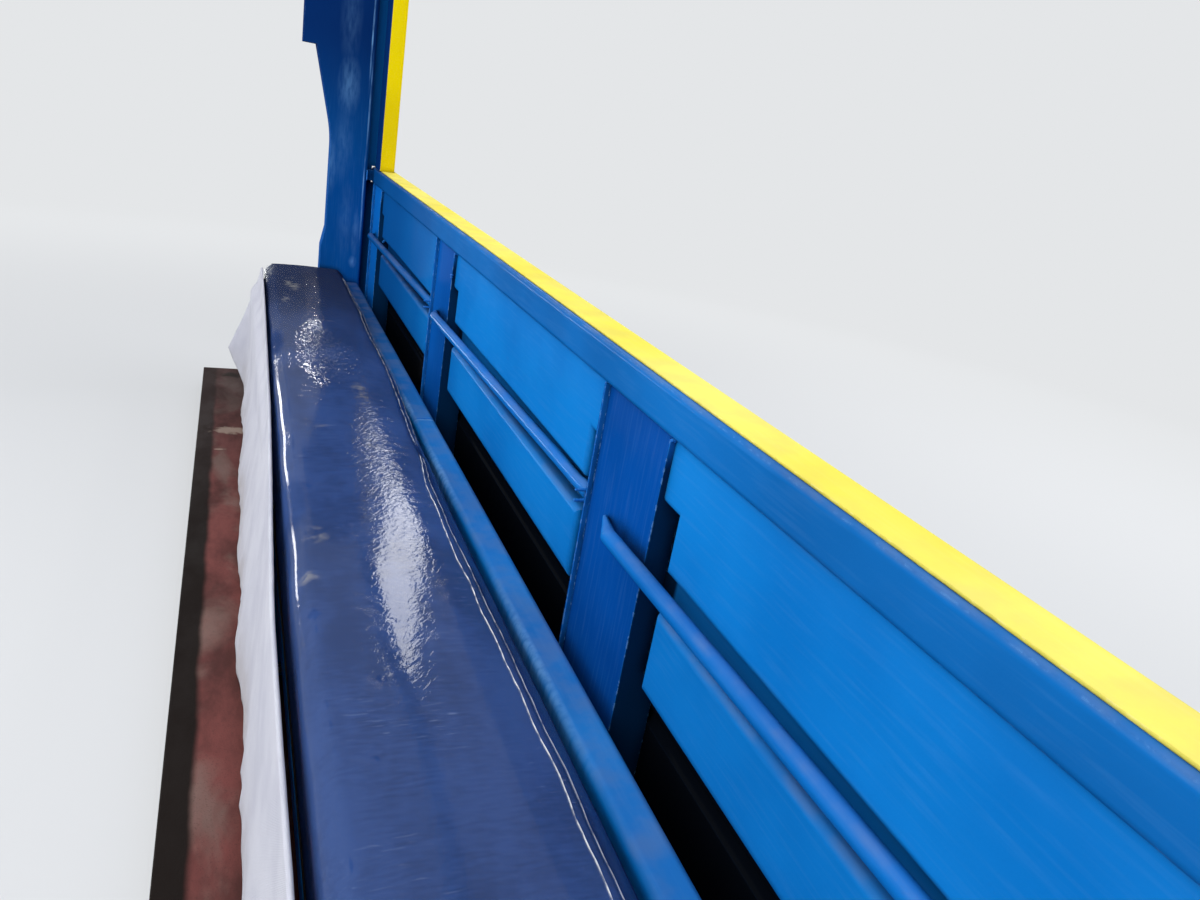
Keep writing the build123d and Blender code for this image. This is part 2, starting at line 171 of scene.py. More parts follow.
# What each short name of a node stands for: its type, its settings, the inputs that values go to in order,
# and the output that is used, or None where several are. Any other name is an operation of the Math node.
NODE_KINDS = {
    "place": ("ShaderNodeTexCoord", {}, (), "Object"),
    "place on cloth": ("ShaderNodeTexCoord", {}, (), "UV"),
    "normal": ("ShaderNodeNewGeometry", {}, (), "Normal"),
    "attribute": ("ShaderNodeAttribute", {}, (), "Fac"),
    "rays": ("ShaderNodeLightPath", {}, (), None),
    "apart": ("ShaderNodeSeparateXYZ", {}, (0,), None),
    "length": ("ShaderNodeVectorMath", {"operation": "LENGTH"}, (0,), "Value"),
    "agreement": ("ShaderNodeVectorMath", {"operation": "DOT_PRODUCT"}, (0, 1), "Value"),
    "turned": ("ShaderNodeMapping", {}, ("Vector", "Rotation"), 0),
    "squeezed": ("ShaderNodeMapping", {}, ("Vector", "Scale"), 0),
    "centred": ("ShaderNodeMapping", {"vector_type": "TEXTURE"}, ("Vector", "Location", "Scale"), 0),
    "ball": ("ShaderNodeTexGradient", {"gradient_type": "SPHERICAL"}, ("Vector",), 1),
    "noise": ("ShaderNodeTexNoise", {}, ("Vector", "Scale", "Detail", "Roughness", "Distortion"), 0),
    # carries a value from low..high to 0..1, or to two other ends, with soft ends
    "step": ("ShaderNodeMapRange", {"interpolation_type": "SMOOTHSTEP"},
             ("Value", "From Min", "From Max", "To Min", "To Max"), 0),
    # a share of the second colour over the first
    "mix": ("ShaderNodeMix", {"data_type": "RGBA"}, (0, 6, 7), 2),
    "openness": ("ShaderNodeAmbientOcclusion", {"samples": 6}, ("Distance",), "AO"),
    "rounded": ("ShaderNodeBevel", {"samples": 4}, ("Radius",), 0),
    "bump": ("ShaderNodeBump", {}, ("Height", "Strength", "Distance", "Normal"), 0),
}


def wire(tree, node, inputs):
    """Give a node's inputs numbers, hex colours or other nodes' outputs, by the inputs' names."""
    for name, value in inputs.items():
        if isinstance(value, bpy.types.NodeSocket):
            tree.links.new(value, node.inputs[name])
        else:
            node.inputs[name].default_value = linear(value) if isinstance(value, str) else value


def add(tree, kind, *values, **settings):
    """Add one node, with values for its inputs in order and settings for its own fields, and give its output."""
    node_type, fixed, names, output = NODE_KINDS.get(kind, ("ShaderNodeMath", {"operation": kind}, (0, 1), 0))
    node = tree.nodes.new(node_type)
    for field, value in {**fixed, **settings}.items():
        setattr(node, field, value)
    wire(tree, node, dict(zip(names, values)))
    return node.outputs if output is None else node.outputs[output]


def new_material(name, **constants):
    """Start a material with its shader; constants go on the shader's own sockets."""
    material = bpy.data.materials.new(name)
    material.use_nodes = True
    shader = material.node_tree.nodes["Principled BSDF"]
    wire(material.node_tree, shader, {socket.replace("_", " "): value for socket, value in constants.items()})
    return material, material.node_tree, shader


def mottle(tree, place, cells, detail=3.0, stretch=(1, 1, 1), roughness=0.5, distortion=0.0, turn=0.0):
    """An uneven pattern with that many cells per metre, turned round Z by turn degrees and then squeezed by
    stretch along X, Y and Z, so that a stretch under 1 draws it out."""
    if turn:
        place = add(tree, "turned", place, (0, 0, math.radians(turn)))
    return add(tree, "noise", add(tree, "squeezed", place, stretch), cells, detail, roughness, distortion)


def marks(tree, place, axis, level, depth, table):
    """Soft oval marks on a face square to axis 0, 1 or 2, at its level and that deep, joined by their highest
    value. A row of the table is a centre and half sizes along the two other axes, and a strength."""
    total = 0.0
    for first, second, first_half, second_half, strength in table:
        centre, halves = [first, second], [first_half, second_half]
        centre.insert(axis, level)
        halves.insert(axis, depth)
        ball = add(tree, "ball", add(tree, "centred", place, centre, halves))
        total = add(tree, "MAXIMUM", total, add(tree, "MULTIPLY", ball, strength))
    return total


# Enamel: brushed gloss paint on hand-worked sheet steel. It gives the eye a deep even colour with a soft
# waviness, pale rubbed edges, dust on what faces up, and dirt with painted shade in the corners. Some
# finishes also carry painted shade towards the front end, in grooves, on post sides, over the upper part and
# on the hidden inboard side, painted light on the posts, and painted highlights on the pillar and the ledge.

# the rubbed blue also paints the highlights on the pillar's edge and along the ledge
BLUE, BLUE_DEEP, BLUE_RUBBED_AND_HIGHLIGHT = "#1179C8", "#0B69B6", "#6FA6DC"
YELLOW, YELLOW_DEEP, YELLOW_RUBBED = "#EDE06C", "#E4D54A", "#F4EEB4"
# SHADE is painted shade in grooves and on post sides; the grime colour is dirt with painted shade in corners
SHADE, DUST, GRIME_AND_SHADE = "#030A16", "#8C8574", "#060D18"


def enamel(name, base, deep, rubbed_and_highlight=BLUE_RUBBED_AND_HIGHLIGHT, gloss=0.05, haze=0.13, worn=0.4, rubs_and_highlights=(), upright=False,
           grooved=False, shaded_sides=False, grime_and_shade_reach=20 * MM, front_end_lighting=None, ends=None, aisle_side_shaded=None,
           top=None, inner=None):
    """Gloss is the coat's weight, haze its roughness and worn how far its edges are worn through;
    rubs_and_highlights are what marks() takes, pale worn marks and painted highlights; upright turns the brush
    strokes upright; a grooved panel has painted shade in its grooves, and a post with shaded_sides painted shade
    on the sides that face them; dirt and painted shade lie within grime_and_shade_reach of a corner.
    front_end_lighting, ends, aisle_side_shaded, top and inner are other colours: painted shade towards the front
    end, and painted light where that colour is lighter, as on the posts; painted light on the sides along Y; the
    side to the aisle, painted blue and darkened as painted shade; painted shade on the upper part; and near
    black as painted shade on the side that looks inboard, into the dark space behind the linings."""
    material, tree, shader = new_material(name, Coat_Weight=gloss, Coat_Roughness=haze, Specular_IOR_Level=0.0)
    place = add(tree, "place")
    spot = add(tree, "apart", place)
    normal = add(tree, "normal")
    facing = add(tree, "apart", normal)

    # broad patches 300 mm across where the coat is thinner, and brush strokes 4 mm wide
    patches = add(tree, "step", mottle(tree, place, 3.3, 4.0), 0.35, 0.7)
    strokes = mottle(tree, place, 250, 2.0, stretch=(1, 1, 0.06) if upright else (1, 0.06, 1))
    colour = add(tree, "mix", patches, base, deep)
    colour = add(tree, "mix", add(tree, "step", strokes, 0.45, 0.75, 0, 0.04), colour, rubbed_and_highlight)
    # painted shade: darker towards the front end; on the posts this colour is lighter, as painted light
    if front_end_lighting:
        colour = add(tree, "mix", add(tree, "step", spot["Y"], 0.2, 1.0, 0, 0.9), colour, front_end_lighting)
    # painted light: the sides that face along Y are lighter
    if ends:
        along = add(tree, "ABSOLUTE", facing["Y"])
        colour = add(tree, "mix", add(tree, "step", along, 0.4, 0.7), colour, ends)
    if shaded_sides or grooved:
        from_post = add(tree, "PINGPONG", add(tree, "SUBTRACT", spot["Y"], post_middle), bay / 2)
    if shaded_sides:
        # painted shade on the outer half millimetre of each post and on its sides, from 30 mm under the sill
        # down
        outer = add(tree, "step", from_post, post_half - 0.5 * MM, post_half - 0.1 * MM, 0, 0.85)
        under_sill = add(tree, "step", spot["Z"], sill_low.z, sill_low.z - 30 * MM)
        colour = add(tree, "mix", add(tree, "MULTIPLY", outer, under_sill), colour, SHADE)
    # the side to the aisle, painted blue and darkened as painted shade
    if aisle_side_shaded:
        colour = add(tree, "mix", add(tree, "step", facing["X"], -0.4, -0.6), colour, aisle_side_shaded)
    if grooved:
        # shade in the 20 mm deep grooves, nearly black in the upright ones beside the posts
        deep_in = add(tree, "step", spot["X"], lining_low.x + 4 * MM, lining_low.x + 15 * MM)
        beside = add(tree, "step", from_post, post_half + 27 * MM, post_half + 20 * MM, 0.45, 0.97)
        colour = add(tree, "mix", add(tree, "MULTIPLY", deep_in, beside), colour, SHADE)
    # painted shade: darker over the upper part
    if top:
        colour = add(tree, "mix", add(tree, "step", spot["Z"], 0.60, 0.98, 0, 0.95), colour, top)

    # dust settled on open faces that look up, in clouds 40 mm across, and dirt with painted shade in the corners
    clouds = add(tree, "step", mottle(tree, place, 25, 4.0), 0.35, 0.7, 0.25, 1)
    openness = add(tree, "openness", grime_and_shade_reach)
    up = add(tree, "MULTIPLY", add(tree, "step", facing["Z"], 0.25, 0.85, 0, 0.2),
             add(tree, "step", openness, 0.5, 0.95))
    dust = add(tree, "MULTIPLY", clouds, up)
    colour = add(tree, "mix", dust, colour, DUST)
    grime_and_shade = add(tree, "MULTIPLY", add(tree, "step", openness, 0.3, 0.92, 0.95, 0.0),
                add(tree, "step", clouds, 0.25, 1, 0.6, 1))
    colour = add(tree, "mix", grime_and_shade, colour, GRIME_AND_SHADE)

    # edges rounded by 1.5 mm of paint, rubbed pale in spots 6 mm long
    rounded = add(tree, "rounded", 1.5 * MM)
    edge = add(tree, "step", add(tree, "agreement", rounded, normal), 0.995, 0.93)
    broken = add(tree, "step", mottle(tree, place, 160), 0.5, 0.62)
    wear_and_highlight = add(tree, "MULTIPLY", edge, add(tree, "MULTIPLY", broken, worn))
    if rubs_and_highlights:
        # rubbed through, and painted highlights, broken in upright strokes 8 mm apart
        wiped = add(tree, "step", mottle(tree, place, 120, 4.0, stretch=(1, 1, 0.25)), 0.3, 0.65, 0.25, 1)
        wear_and_highlight = add(tree, "MAXIMUM", wear_and_highlight, add(tree, "MULTIPLY", marks(tree, place, *rubs_and_highlights), wiped))
    colour = add(tree, "mix", wear_and_highlight, colour, rubbed_and_highlight)
    # near black as painted shade on the side that looks inboard, into the dark space behind the linings
    if inner:
        colour = add(tree, "mix", add(tree, "step", facing["X"], -0.2, -0.6), colour, inner)
    rough = add(tree, "step", add(tree, "ADD", dust, wear_and_highlight, use_clamp=True), 0, 0.6, 0.38, 0.75)

    # hand-worked sheet: waves 150 mm long and 1 mm high, under 3 mm orange peel
    bump = add(tree, "bump", mottle(tree, place, 6.5, 1.0), 0.5, 4 * MM, rounded)
    bump = add(tree, "bump", mottle(tree, place, 330, 1.0), 0.25, 0.3 * MM, bump)
    wire(tree, shader, {"Base Color": colour, "Roughness": rough, "Normal": bump, "Coat Normal": bump})
    return material


# Rubbed and dusty places on the front pillar's aft face, and a broken painted highlight along its edge beside
# the window, in X and Z
pillar_rubs_and_highlight = (1, wall_front, 0.03, (
    (0.100, 0.835, 0.032, 0.085, 0.34),
    (0.096, 0.995, 0.030, 0.130, 0.14),
    (0.094, 0.690, 0.030, 0.110, 0.18),
    (0.068, 0.640, 0.020, 0.090, 0.26),
    (0.112, 0.500, 0.024, 0.120, 0.16),
    (0.140, 0.470, 0.012, 0.080, 0.30),
    (0.138, 0.393, 0.012, 0.020, 0.50),
    # its edge beside the window: a painted highlight line
    (0.149, 0.960, 0.0028, 0.140, 0.95),
    (0.154, 0.790, 0.0028, 0.150, 0.85),
    (0.152, 0.600, 0.0024, 0.110, 1.00),
    (0.153, 0.510, 0.0028, 0.080, 0.95),
))

# Painted highlights along the ledge's inner edge, in X and Y, and a pale line where its joint is
ledge_highlights_and_joint = (2, ledge_high.z, 0.03, (
    (0.123, 0.342, 0.007, 0.075, 0.9),
    (0.121, 0.050, 0.008, 0.150, 0.9),
    (0.122, -0.420, 0.007, 0.200, 0.7),
    (0.140, ledge_low.y - 5 * MM, 0.030, 0.005, 0.8),
))

# front_end_lighting darkens these finishes towards the front end as painted shade; on the posts it lightens
# them, as painted light
blue_enamel = enamel("blue_enamel", BLUE, BLUE_DEEP, front_end_lighting="#084586")
# the posts: painted light towards the front end and on their sides along Y, painted shade on their outer sides
post_enamel = enamel("post_enamel", "#054A9C", "#043F88", worn=0.8, upright=True, shaded_sides=True,
                     front_end_lighting="#1070CC", ends="#1A74CA")
lining_enamel = enamel("lining_enamel", BLUE, BLUE_DEEP, worn=0.3, grooved=True, front_end_lighting="#084586")
rail_enamel = enamel("rail_enamel", "#0C6CBE", "#0A5CA6", gloss=0.11, haze=0.02, front_end_lighting="#0A4684")
ledge_enamel = enamel("ledge_enamel", BLUE, BLUE_DEEP, gloss=0.14, rubs_and_highlights=ledge_highlights_and_joint, grime_and_shade_reach=6 * MM,
                      front_end_lighting="#0A4684")
# the pillar: painted shade over its upper part, and a painted highlight line along its edge beside the window
pillar_enamel = enamel("pillar_enamel", "#0A58A4", "#084A90", gloss=0.02, haze=0.3, rubs_and_highlights=pillar_rubs_and_highlight,
                       upright=True, top="#06265C")
# the sill: a darker copy of the wall's blue, as painted shade
sill_enamel_shaded = enamel("sill_enamel_shaded", "#0F66B0", "#0B5699", front_end_lighting="#0A4684")
# the skin: near black as painted shade on its inboard side
skin_enamel = enamel("skin_enamel", BLUE, BLUE_DEEP, inner="#070B12")
yellow_enamel = enamel("yellow_enamel", YELLOW, YELLOW_DEEP, YELLOW_RUBBED)
# the jambs: their side to the aisle painted blue and darkened as painted shade
jamb_enamel = enamel("jamb_enamel", "#E2CB00", "#D6BD00", YELLOW_RUBBED, aisle_side_shaded="#072E66")


# Red oxide floor paint: walked thin, grey where dust fills it, nearly black along the aisle edge.

def worn_red_oxide():
    material, tree, shader = new_material("worn_red_oxide", Specular_IOR_Level=0.05)
    place = add(tree, "place")
    spot = add(tree, "apart", place)
    # blotches 60 mm across and dust in clouds 110 mm across, drawn out along the vehicle, and 2 mm grit
    blotches = mottle(tree, place, 16, 5.0, stretch=(1, 0.5, 1), roughness=0.6)
    grit = mottle(tree, place, 500, 2.0)
    dusty = mottle(tree, place, 9, 5.0, stretch=(1, 0.6, 1), distortion=0.6)
    colour = add(tree, "mix", add(tree, "step", blotches, 0.35, 0.68), "#6E3F3C", "#4C2F2D")
    colour = add(tree, "mix", add(tree, "step", dusty, 0.5, 0.68, 0, 0.7), colour, "#75645D")
    colour = add(tree, "mix", add(tree, "step", grit, 0.55, 0.75, 0, 0.35), colour, "#3C2B28")
    # the dark band along the aisle edge, 33 mm wide with a soft edge that wanders a few millimetres
    band_edge = floor_low.x + 33 * MM
    wander = add(tree, "MULTIPLY", mottle(tree, place, 14, 2.0), 12 * MM)
    band = add(tree, "step", add(tree, "ADD", spot["X"], wander), band_edge + 12 * MM, band_edge + 2 * MM)
    colour = add(tree, "mix", band, colour, "#1A1513")
    # darker towards the front end, as painted shade
    colour = add(tree, "mix", add(tree, "step", spot["Y"], 0.35, 1.36, 0, 0.8), colour, "#2C2120")
    # a ragged scraped patch across the strip with a small one behind it, and an oil stain at the front end
    ragged = add(tree, "SUBTRACT", mottle(tree, place, 45, 5.0, roughness=0.65), 0.5)
    scrape = marks(tree, place, 2, floor_high.z, 0.05, ((-0.155, 0.922, 0.085, 0.042, 1.2),
                                                        (-0.177, 0.806, 0.024, 0.010, 1.0)))
    scrape = add(tree, "ADD", scrape, add(tree, "MULTIPLY", ragged, 1.6))
    colour = add(tree, "mix", add(tree, "step", scrape, 0.45, 0.8, 0, 0.6), colour, "#9B8B7E")
    oil = marks(tree, place, 2, floor_high.z, 0.05, ((-0.158, 1.340, 0.050, 0.040, 1.2),))
    oil = add(tree, "ADD", oil, add(tree, "MULTIPLY", ragged, 1.4))
    colour = add(tree, "mix", add(tree, "step", oil, 0.4, 0.8, 0, 0.85), colour, "#17130F")
    rough = add(tree, "step", blotches, 0.3, 0.7, 0.55, 0.85)
    wire(tree, shader, {"Base Color": colour, "Roughness": rough,
                        "Normal": add(tree, "bump", grit, 0.4, 0.6 * MM)})
    return material


# Underbody paint: thick dull black, rust brown where stones have chipped it.

def underbody_black():
    material, tree, shader = new_material("underbody_black", Specular_IOR_Level=0.3)
    place = add(tree, "place")
    # chips 30 mm across, and sprayed grain 4 mm across
    rust = add(tree, "step", mottle(tree, place, 30, 5.0, roughness=0.65), 0.56, 0.66)
    grain = mottle(tree, place, 240)
    wire(tree, shader, {"Base Color": add(tree, "mix", rust, "#1B1B1D", "#5A3320"),
                        "Roughness": add(tree, "step", rust, 0, 1, 0.6, 0.9),
                        "Normal": add(tree, "bump", grain, 0.6, 0.8 * MM)})
    return material


# Bare plywood: long pale grain on its faces, brown and pale plies 2.4 mm thick on its edges.

def plywood():
    material, tree, shader = new_material("plywood", Specular_IOR_Level=0.25)
    place = add(tree, "place")
    # grain in streaks 11 mm wide and 220 mm long
    grain = mottle(tree, place, 90, 5.0, stretch=(1, 0.05, 1), distortion=1.2)
    face = add(tree, "mix", add(tree, "step", grain, 0.35, 0.7), "#B98F5C", "#8E6439")
    # one pale and one brown ply take up 4.8 mm
    ply = add(tree, "FRACT", add(tree, "MULTIPLY", add(tree, "apart", place)["Z"], 1 / (4.8 * MM)))
    plies = add(tree, "mix", add(tree, "step", ply, 0.45, 0.55), "#C09A68", "#7A5330")
    level = add(tree, "ABSOLUTE", add(tree, "apart", add(tree, "normal"))["Z"])
    colour = add(tree, "mix", add(tree, "step", level, 0.4, 0.8), plies, face)
    # painted shade: black in the narrow gap beside the cushion
    shut_in = add(tree, "step", add(tree, "openness", 30 * MM), 0.5, 0.97, 1, 0)
    wire(tree, shader, {"Base Color": add(tree, "mix", shut_in, colour, "#0E0A08"),
                        "Roughness": add(tree, "step", grain, 0.3, 0.7, 0.6, 0.8),
                        "Normal": add(tree, "bump", grain, 0.4, 0.4 * MM)})
    return material


# Navy upholstery vinyl with clear film pulled tight over it: a soft grain seen through a wet gloss that
# breaks into short crinkles.

# Marks on the cushion's cover: they lie square to Z, at the height of its top, and reach 60 mm up and down
COVER_MARKS = (2, 0.37, 0.06)
cover_stains = (
    (-0.075, -0.214, 0.024, 0.030, 1.0),
    (-0.088, -0.301, 0.020, 0.022, 0.9),
    (-0.040, 0.124, 0.022, 0.018, 0.7),
    (-0.030, 1.090, 0.030, 0.110, 1.0),
    (-0.050, 0.930, 0.022, 0.090, 0.7),
    (0.014, 0.748, 0.034, 0.004, 0.9),
    (0.032, 0.290, 0.018, 0.110, 0.9),
    (0.020, 0.060, 0.014, 0.090, 0.7),
)
cover_scuffs = (
    (-0.098, -0.116, 0.025, 0.080, 3.0),
    (-0.090, 0.600, 0.022, 0.120, 2.5),
)
cover_crumples = (
    (-0.092, 0.450, 0.030, 0.150, 1.6),
    (0.000, 0.520, 0.045, 0.200, 2.2),
    (0.035, 0.050, 0.070, 0.420, 1.0),
)
cover_dimples = (
    (0.005, 0.520, 0.075, 0.240, 1.6),
    (-0.085, 0.500, 0.030, 0.150, 1.2),
)


def navy_vinyl_under_film():
    material, tree, shader = new_material("navy_vinyl_under_film", Coat_Roughness=0.022, Specular_IOR_Level=0.0,
                                          Roughness=0.5)
    place = add(tree, "place")
    # worn in clouds 110 mm across, with fine lines 3 mm apart across the bench
    clouds = mottle(tree, place, 9, 6.0, stretch=(1.4, 0.7, 1), roughness=0.65)
    lines = mottle(tree, place, 300, stretch=(0.2, 1, 1))
    clouds = add(tree, "step", add(tree, "ADD", clouds, add(tree, "MULTIPLY", lines, 0.35)), 0.52, 0.85)
    colour = add(tree, "mix", clouds, "#17305F", "#243F74")
    # the front end is darker, as painted shade, and its film is duller
    far = add(tree, "step", add(tree, "apart", place)["Y"], 0.4, 1.15)
    colour = add(tree, "mix", add(tree, "MULTIPLY", far, 0.85), colour, "#141F3E")
    # the film is scuffed dull in two places along the aisle edge
    unscuffed = add(tree, "SUBTRACT", 1.0, marks(tree, place, *COVER_MARKS, cover_scuffs), use_clamp=True)
    coat = add(tree, "MULTIPLY", add(tree, "step", far, 0, 1, 0.25, 0.02), unscuffed)
    # stains broken into spots 16 mm across
    patchy = add(tree, "MULTIPLY", marks(tree, place, *COVER_MARKS, cover_stains),
                 add(tree, "step", mottle(tree, place, 60, 4.0), 0.3, 0.7))
    colour = add(tree, "mix", add(tree, "step", patchy, 0.1, 0.8, 0, 0.55), colour, "#8C8A86")
    # scuffs in the film: short pale threads across the bench, drawn 2 mm wide so that they show
    threads = mottle(tree, place, 420, 2.0, stretch=(0.12, 1, 1), distortion=0.5)
    scuffs = add(tree, "MULTIPLY", add(tree, "step", threads, 0.62, 0.72),
                 add(tree, "step", mottle(tree, place, 12), 0.5, 0.7))
    colour = add(tree, "mix", add(tree, "MULTIPLY", scuffs, 0.22), colour, "#8FA0C4")
    # vinyl grain under the film, drawn 2 mm across so that it shows
    grain = add(tree, "bump", mottle(tree, place, 480, 2.0), 0.3, 0.4 * MM)
    # the film's crinkles: 5 mm apart and slanting, strongest at the aisle edge by the second bay
    crinkle = mottle(tree, place, 190, 2.0, stretch=(1, 0.45, 0.6), distortion=0.8, turn=35)
    crumpled = add(tree, "ADD", marks(tree, place, *COVER_MARKS, cover_crumples), 0.25)
    crinkle = add(tree, "MULTIPLY", add(tree, "SUBTRACT", crinkle, 0.5), crumpled)
    # dimples 8 mm wide and 12 mm long, which break a lamp's image into speckles
    dimples = add(tree, "SUBTRACT", mottle(tree, place, 120, 1.0, stretch=(1, 0.7, 1), distortion=0.4), 0.5)
    dimples = add(tree, "MULTIPLY", dimples, marks(tree, place, *COVER_MARKS, cover_dimples))
    # slow waves 80 mm across and 200 mm long
    film = add(tree, "bump", mottle(tree, place, 12, 1.0, stretch=(1, 0.4, 1)), 0.25, 0.5 * MM)
    film = add(tree, "bump", dimples, 1.0, 3 * MM, film)
    film = add(tree, "bump", crinkle, 0.5, 0.9 * MM, film)
    wire(tree, shader, {"Base Color": colour, "Normal": grain, "Coat Weight": coat, "Coat Normal": film})
    return material


# Clear plastic film where it stands off the vinyl: almost unseen when flat, white along a fold, as a painted
# highlight.

def clear_film():
    material, tree, shader = new_material("clear_film", Base_Color="#E9EEF2", Specular_IOR_Level=0.6, IOR=1.5,
                                          Roughness=0.12)
    # folds broken into lengths of 14 mm
    broken = add(tree, "step", mottle(tree, add(tree, "place"), 70), 0.3, 0.65, 0.35, 1)
    shown = add(tree, "MULTIPLY", add(tree, "attribute", attribute_name="fold"), broken)
    # painted highlight: the film shows white along its folds and where it is bunched
    wire(tree, shader, {"Alpha": add(tree, "step", shown, 0, 1, 0.02, 0.85)})
    return material


# Washed white cotton: plain weave, a little blue in the shade, grey with soil near the floor.

def white_cotton():
    material, tree, shader = new_material("white_cotton", Roughness=0.9, Specular_IOR_Level=0.15,
                                          Sheen_Weight=0.15, Sheen_Roughness=0.5)
    place = add(tree, "place")
    # clouds 80 mm across, and soil from 160 mm above the floor down
    clouds = add(tree, "step", mottle(tree, place, 12, 4.0), 0.35, 0.75)
    colour = add(tree, "mix", clouds, "#BABBC6", "#ACADBB")
    soil = add(tree, "MULTIPLY", add(tree, "step", add(tree, "apart", place)["Z"], 0.16, 0.06), clouds)
    colour = add(tree, "mix", add(tree, "MULTIPLY", soil, 0.45), colour, "#A79D90")
    # threads 0.5 mm apart drawn 1.6 mm apart so that they show: a wave each way on the cloth's own map
    on_cloth = add(tree, "apart", add(tree, "place on cloth"))
    thread = 2 * math.pi / (1.6 * MM)
    warp, weft = [add(tree, "SINE", add(tree, "MULTIPLY", on_cloth[way], thread)) for way in ("X", "Y")]
    # thicker threads 6 mm apart that run down the cloth
    slubs = mottle(tree, place, 160, stretch=(1, 1, 0.15))
    weave = add(tree, "ADD", add(tree, "MULTIPLY", warp, weft), slubs)
    wire(tree, shader, {"Base Color": colour, "Normal": add(tree, "bump", weave, 0.35, 0.4 * MM)})
    return material


# Zinc-plated bolts: dull grey metal, rust brown in spots 5 mm across.

def dull_zinc():
    material, tree, shader = new_material("dull_zinc", Metallic=1.0)
    rust = add(tree, "step", mottle(tree, add(tree, "place"), 200, 4.0), 0.5, 0.66)
    wire(tree, shader, {"Base Color": add(tree, "mix", rust, "#A9A89F", "#6B4630"),
                        "Roughness": add(tree, "step", rust, 0, 1, 0.38, 0.8)})
    return material


# Painted welds: rippled beads under the blue coat, which has gone brown in spots 11 mm across.

def painted_weld():
    material, tree, shader = new_material("painted_weld", Coat_Weight=0.2, Coat_Roughness=0.15,
                                          Specular_IOR_Level=0.1, Roughness=0.45)
    place = add(tree, "place")
    bare = add(tree, "step", mottle(tree, place, 90, 4.0), 0.68, 0.76)
    # ripples 1.5 mm apart
    ripples = mottle(tree, place, 600, 2.0)
    wire(tree, shader, {"Base Color": add(tree, "mix", bare, "#1A6CBF", "#9A7F5E"),
                        "Normal": add(tree, "bump", ripples, 0.5, 0.6 * MM)})
    return material


# Which finish each of the frame's pieces gets: by its name, by the start of its name, or plain blue enamel

red_floor = worn_red_oxide()
underbody = underbody_black()
board_wood = plywood()
vinyl = navy_vinyl_under_film()
film_plastic = clear_film()
cotton = white_cotton()
zinc = dull_zinc()
weld_paint = painted_weld()

finishes = {
    "floor_plate": red_floor,
    "floor_bearer": underbody,
    "side_rail": underbody,
    "outer_skin": skin_enamel,
    "post_": post_enamel,
    "lining_": lining_enamel,
    "back_rail": rail_enamel,
    "sill_tube": sill_enamel_shaded,
    "sill_cap": yellow_enamel,
    "front_jamb": jamb_enamel,
    "rear_jamb": jamb_enamel,
    "ledge_": ledge_enamel,
    "front_pillar": pillar_enamel,
    "seat_board": board_wood,
}
for name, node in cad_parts.items():
    finish = next((finish for start, finish in finishes.items() if name.startswith(start)), blue_enamel)
    node.data.materials.clear()
    node.data.materials.append(finish)


# Cushion: a foam slab in vinyl. A rounded section is carried along the bench; both ends are rounded, the top
# is crowned and sat hollow, and the two long edges wander.

pad_width = cushion_high.x - cushion_low.x
pad_middle = (cushion_high.x + cushion_low.x) / 2
pad_bottom = cushion_low.z
crown = 3 * MM
pad_top = cushion_high.z - crown
pad_height = pad_top - pad_bottom
top_corner, bottom_corner = 24 * MM, 7 * MM
end_round = 20 * MM
pad_step = 6.5 * MM       # between the points round its section and along it
cover_slack = 2.5 * MM    # how much smaller the cover starts than the foam
most_way = 2 * MM         # how far a point of the cover may then go
cover_frames = 20


def rounded_section(width, height, top_radius, bottom_radius, step):
    """Points round a slab's section, evenly spaced: two flat sides, a flat top and bottom and four arcs.
    It starts in the middle of the underside and turns to the aisle side, over the top and back."""
    half = width / 2
    corners = ((-half + bottom_radius, bottom_radius, bottom_radius, -90, -180),
               (-half + top_radius, height - top_radius, top_radius, 180, 90),
               (half - top_radius, height - top_radius, top_radius, 90, 0),
               (half - bottom_radius, bottom_radius, bottom_radius, 0, -90))
    outline = [np.array([[0.0, 0.0]])]
    for x, z, radius, start, end in corners:
        angle = np.radians(np.linspace(start, end, 12))
        outline.append(np.stack([x + radius * np.cos(angle), z + radius * np.sin(angle)], axis=1))
    outline.append(np.array([[0.0, 0.0]]))
    outline = np.vstack(outline)
    length = np.concatenate([[0], np.cumsum(np.linalg.norm(np.diff(outline, axis=0), axis=1))])
    count = int(round(length[-1] / step))
    even = np.arange(count) * length[-1] / count
    return np.stack([np.interp(even, length, outline[:, i]) for i in (0, 1)], axis=1)


# How far the cushion's upper edges lie in from its sides: (y, distance)
aisle_draw = ((-1.35, 0.0), (-0.31, 0.001), (-0.226, 0.003), (-0.013, 0.006), (0.303, 0.010), (0.737, 0.017),
              (1.284, 0.024), (1.35, 0.025))
wall_draw = ((-1.35, 0.022), (-0.108, 0.024), (-0.003, 0.021), (0.119, 0.017), (0.405, 0.004), (0.654, 0.005),
             (0.984, 0.0), (1.35, 0.0))


def eased(table, y):
    """Read a table at y, averaged over 100 mm so that its corners are round."""
    ys, values = np.array(table).T
    return sum(np.interp(y + step, ys, values) for step in np.linspace(-0.05, 0.05, 7)) / 7


